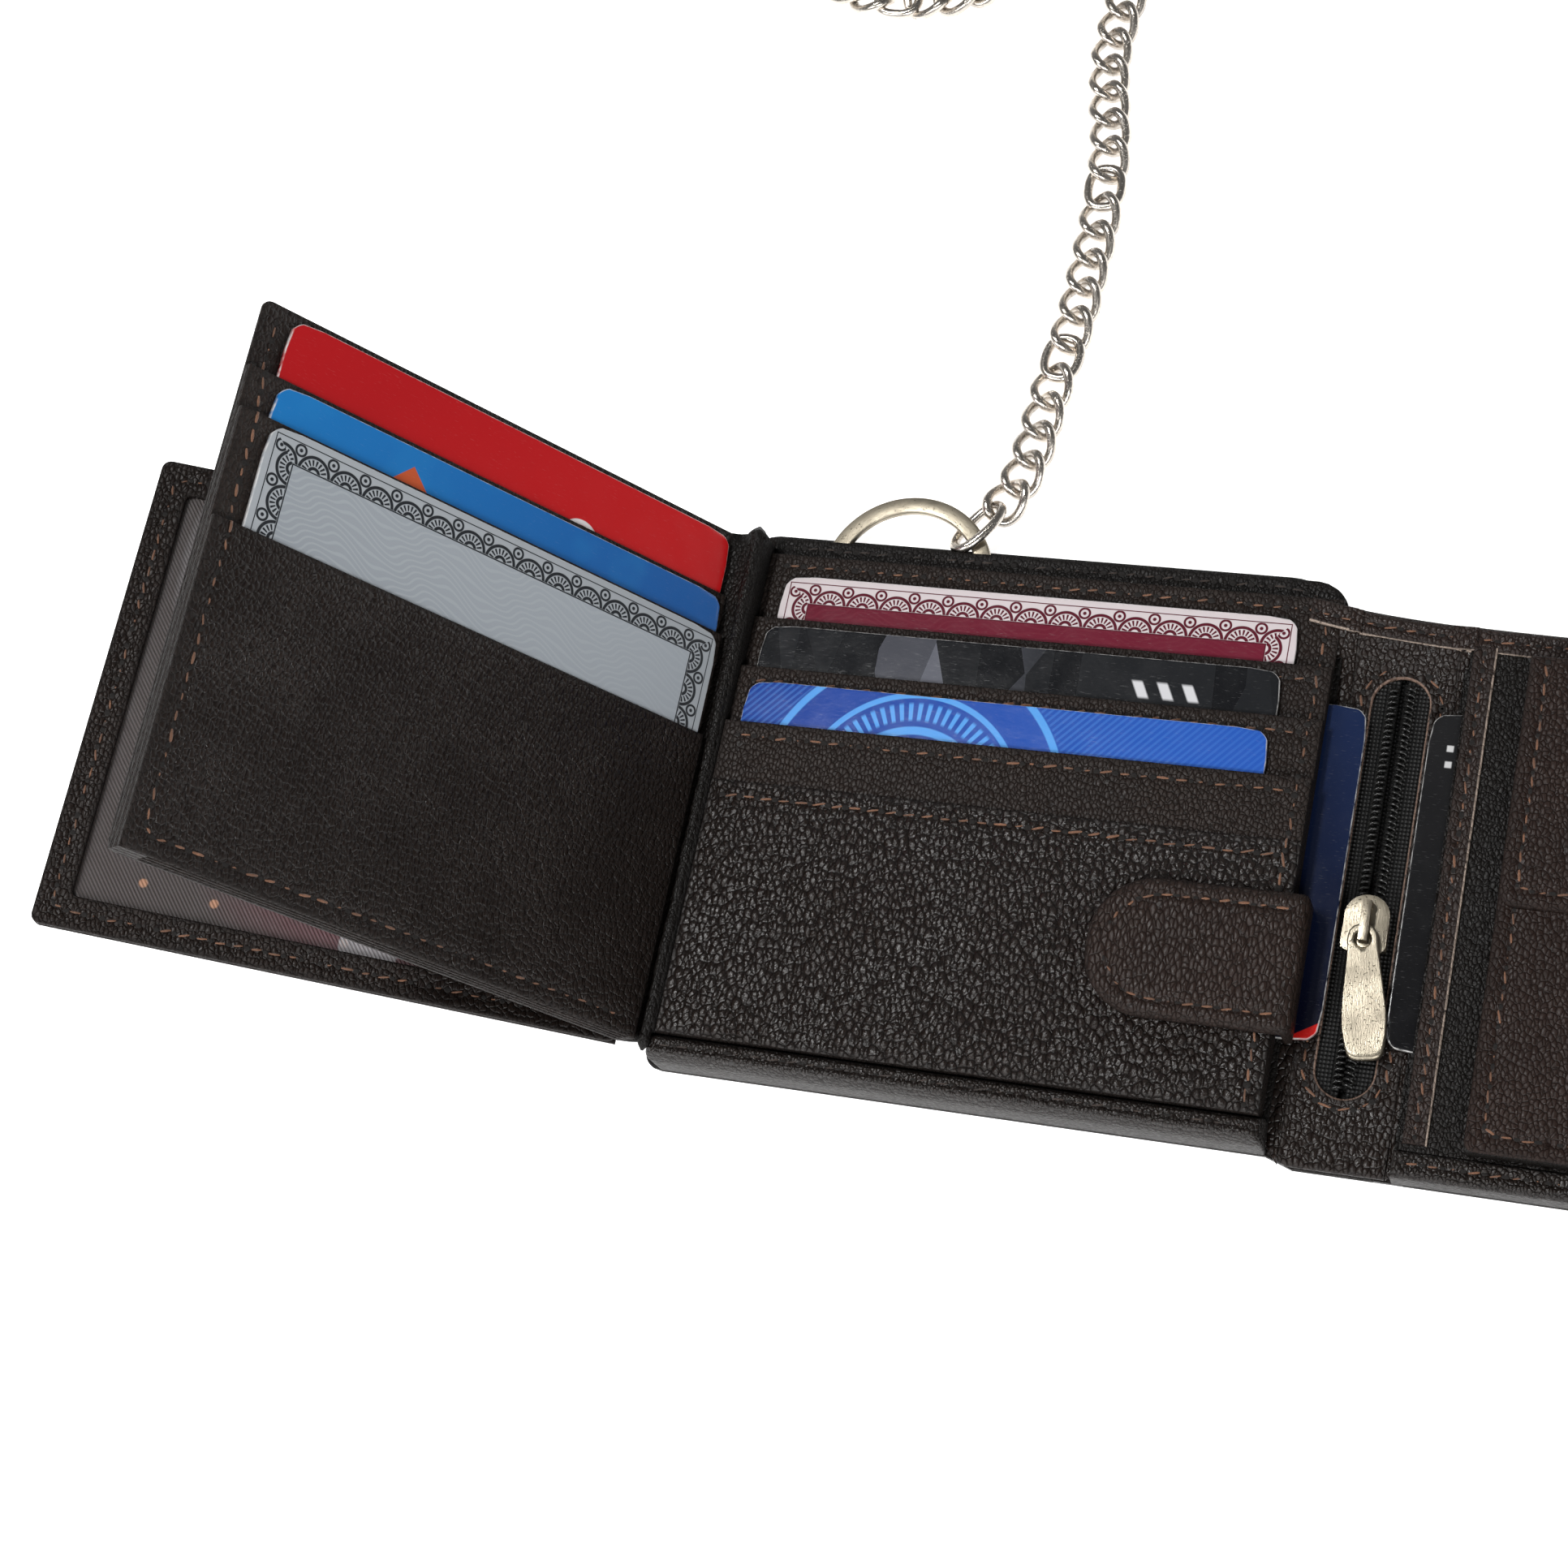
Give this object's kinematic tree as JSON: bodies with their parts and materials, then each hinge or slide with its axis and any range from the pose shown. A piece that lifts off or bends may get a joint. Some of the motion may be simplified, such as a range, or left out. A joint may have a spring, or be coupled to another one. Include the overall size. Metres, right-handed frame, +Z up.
{
  "type": "chain wallet",
  "caption": "Bifold leather wallet with hinged card and ID pages, zipped spine, coin pouch, key ring and a curb chain with a swivel clasp.",
  "frame": {"origin": "middle of the left half's flat underside", "axes": "+Z up from the table, +X along the opened wallet towards the coin side, +Y up the wallet's height towards the chain"},
  "size_m": [0.3164, 0.2453, 0.0857],
  "materials": {
    "antique_nickel": "worn nickel plating",
    "card_plastic": "printed",
    "chain_nickel": "bright nickel plating",
    "keeper_steel": "plain",
    "leather_cover": "pebbled",
    "leather_inner": "pebbled, sewn with tan thread",
    "lining": "woven",
    "printed_lining": "twill print",
    "snap_brass": "antique",
    "window_film": "clear film",
    "zip_coil": "moulded",
    "zip_tape": "woven"
  },
  "bodies": {
    "case": {"cover_left": "leather_cover", "note_lining_left": "lining", "card_panel_base": "leather_inner", "card_slot_1": "leather_inner", "card_slot_2": "leather_inner", "card_slot_3": "leather_inner", "lower_pocket": "leather_inner", "bottom_binding_left": "leather_inner", "hinge_gusset": "leather_inner", "ring_anchor": "leather_inner"},
    "page": {"page_back": "leather_inner", "page_slot_1": "leather_inner", "page_slot_2": "leather_inner", "page_front_pocket": "leather_inner"},
    "id_page": {"id_back": "leather_inner", "id_frame": "leather_inner", "id_window": "window_film", "id_lining": "printed_lining", "tab_keeper_page": "keeper_steel"},
    "tab": {"closure_tab": "leather_inner", "tab_keeper": "keeper_steel"},
    "spine": {"cover_spine": "leather_cover", "zip_pocket_lining": "lining", "spine_leather": "leather_inner", "top_band_spine": "leather_inner", "zip_tapes": "zip_tape", "zip_coils": "zip_coil"},
    "slider": {"zip_slider": "antique_nickel"},
    "pull": {"zip_pull": "antique_nickel"},
    "right": {"cover_right": "leather_cover", "note_lining_right": "lining", "coin_panel": "leather_inner", "edge_strip": "leather_inner", "bottom_band_right": "leather_inner", "top_band_right": "leather_inner", "end_binding_right": "leather_inner", "coin_pouch_gusset": "leather_inner", "coin_pouch_front": "leather_inner", "coin_stud": "snap_brass"},
    "flap": {"coin_flap": "leather_inner", "coin_snap_cap": "snap_brass"},
    "ring": {"ring": "antique_nickel"},
    "clasp_eye": {"clasp_eye": "chain_nickel"},
    "clasp": {"clasp_body": "chain_nickel", "clasp_pin": "chain_nickel"},
    "gate": {"clasp_gate": "chain_nickel"},
    "chain_1": {"chain_1": "chain_nickel"},
    "chain_2": {"chain_2": "chain_nickel"},
    "chain_3": {"chain_3": "chain_nickel"},
    "chain_4": {"chain_4": "chain_nickel"},
    "chain_5": {"chain_5": "chain_nickel"},
    "chain_6": {"chain_6": "chain_nickel"},
    "card_panel_1": {"card_panel_1": "card_plastic"},
    "card_panel_2": {"card_panel_2": "card_plastic"},
    "card_panel_3": {"card_panel_3": "card_plastic"},
    "card_page_1": {"card_page_1": "card_plastic"},
    "card_page_2": {"card_page_2": "card_plastic"},
    "card_page_3": {"card_page_3": "card_plastic"},
    "card_slip_left": {"card_slip_left": "card_plastic"},
    "card_slip_right": {"card_slip_right": "card_plastic"}
  },
  "joints": [
    {"name": "page_turn", "type": "hinge", "parent": "case", "child": "page", "pos_m": [-0.049, 0, 0.01029], "axis": [0, 1, 0], "range_deg": [-38, 122]},
    {"name": "id_page_turn", "type": "hinge", "parent": "page", "child": "id_page", "pos_m": [-0.049, 0, 0.01029], "axis": [0, -1, 0], "range_deg": [-36, 17]},
    {"name": "tab_lift", "type": "hinge", "parent": "case", "child": "tab", "pos_m": [0.0509, 0, 0.00576], "axis": [0, 1, 0], "range_deg": [0, 80]},
    {"name": "spine_fold", "type": "hinge", "parent": "case", "child": "spine", "pos_m": [0.05115, 0, 0.0039], "axis": [0, 1, 0], "range_deg": [-65, 0]},
    {"name": "coin_side_fold", "type": "hinge", "parent": "spine", "child": "right", "pos_m": [0.06755, 0, 0.0039], "axis": [0, 1, 0], "range_deg": [-65, 0]},
    {"name": "slip_card_left_push", "type": "slide", "parent": "case", "child": "card_slip_left", "axis": [1, 0, 0], "range_m": [-0.0066, 0]},
    {"name": "slip_card_right_push", "type": "slide", "parent": "right", "child": "card_slip_right", "axis": [-1, 0, 0], "range_m": [-0.0066, 0]},
    {"name": "zip_run", "type": "slide", "parent": "spine", "child": "slider", "axis": [0, 1, 0], "range_m": [-0.021, 0.034]},
    {"name": "pull_swing", "type": "hinge", "parent": "slider", "child": "pull", "pos_m": [0.0592, -0.0109, 0.0053], "axis": [-1, 0, 0], "range_deg": [0, 150]},
    {"name": "coin_flap_lift", "type": "hinge", "parent": "right", "child": "flap", "pos_m": [0, 0.034, 0.00986], "axis": [-1, 0, 0], "range_deg": [0, 120]},
    {"name": "ring_turn", "type": "hinge", "parent": "case", "child": "ring", "pos_m": [-0.024, 0.041, 0.0023], "axis": [0, 0, 1], "range_deg": [0, 50]},
    {"name": "chain_bend_1", "type": "hinge", "parent": "ring", "child": "chain_1", "pos_m": [-0.01451, 0.05017, 0.0024], "axis": [0, 0, 1], "range_deg": [-12, 12]},
    {"name": "chain_bend_2", "type": "hinge", "parent": "chain_1", "child": "chain_2", "pos_m": [-0.00467, 0.08596, 0.0024], "axis": [0, 0, -1], "range_deg": [-12, 12]},
    {"name": "chain_bend_3", "type": "hinge", "parent": "chain_2", "child": "chain_3", "pos_m": [-0.0036, 0.11861, 0.0024], "axis": [0, 0, 1], "range_deg": [-12, 12]},
    {"name": "chain_bend_4", "type": "hinge", "parent": "chain_3", "child": "chain_4", "pos_m": [-0.0094, 0.16656, 0.0024], "axis": [0, 0, -1], "range_deg": [-12, 12]},
    {"name": "chain_bend_5", "type": "hinge", "parent": "chain_4", "child": "chain_5", "pos_m": [-0.05037, 0.15251, 0.0024], "axis": [0, 0, 1], "range_deg": [-12, 12]},
    {"name": "chain_bend_6", "type": "hinge", "parent": "chain_5", "child": "chain_6", "pos_m": [-0.06597, 0.18638, 0.0024], "axis": [0, 0, -1], "range_deg": [-12, 12]},
    {"name": "clasp_bend", "type": "hinge", "parent": "chain_6", "child": "clasp_eye", "pos_m": [-0.01781, 0.19136, 0.0024], "axis": [0, 0, 1], "range_deg": [-25, 25]},
    {"name": "clasp_swivel", "type": "hinge", "parent": "clasp_eye", "child": "clasp", "pos_m": [-0.01781, 0.19136, 0.0024], "axis": [0.9981, -0.0614, 0], "range_deg": [-90, 90]},
    {"name": "gate_open", "type": "hinge", "parent": "clasp", "child": "gate", "pos_m": [-0.0007, 0.19552, 0.0024], "axis": [0, 0, -1], "range_deg": [0, 22], "stiffness_Nm_per_rad": 0.002, "springref_deg": -11.46},
    {"name": "card_panel_1_draw", "type": "slide", "parent": "case", "child": "card_panel_1", "axis": [0, 1, 0], "range_m": [0, 0.03]},
    {"name": "card_panel_2_draw", "type": "slide", "parent": "case", "child": "card_panel_2", "axis": [0, 1, 0], "range_m": [0, 0.03]},
    {"name": "card_panel_3_draw", "type": "slide", "parent": "case", "child": "card_panel_3", "axis": [0, 1, 0], "range_m": [0, 0.03]},
    {"name": "card_page_1_draw", "type": "slide", "parent": "page", "child": "card_page_1", "axis": [0, 1, 0], "range_m": [0, 0.03]},
    {"name": "card_page_2_draw", "type": "slide", "parent": "page", "child": "card_page_2", "axis": [0, 1, 0], "range_m": [0, 0.03]},
    {"name": "card_page_3_draw", "type": "slide", "parent": "page", "child": "card_page_3", "axis": [0, 1, 0], "range_m": [0, 0.03]}
  ],
  "couplings": [
    {"joint": "coin_side_fold", "follows": "spine_fold", "ratio": 1},
    {"joint": "slip_card_left_push", "follows": "spine_fold", "m_per_rad": 0.00573},
    {"joint": "slip_card_right_push", "follows": "spine_fold", "m_per_rad": 0.00573}
  ]
}
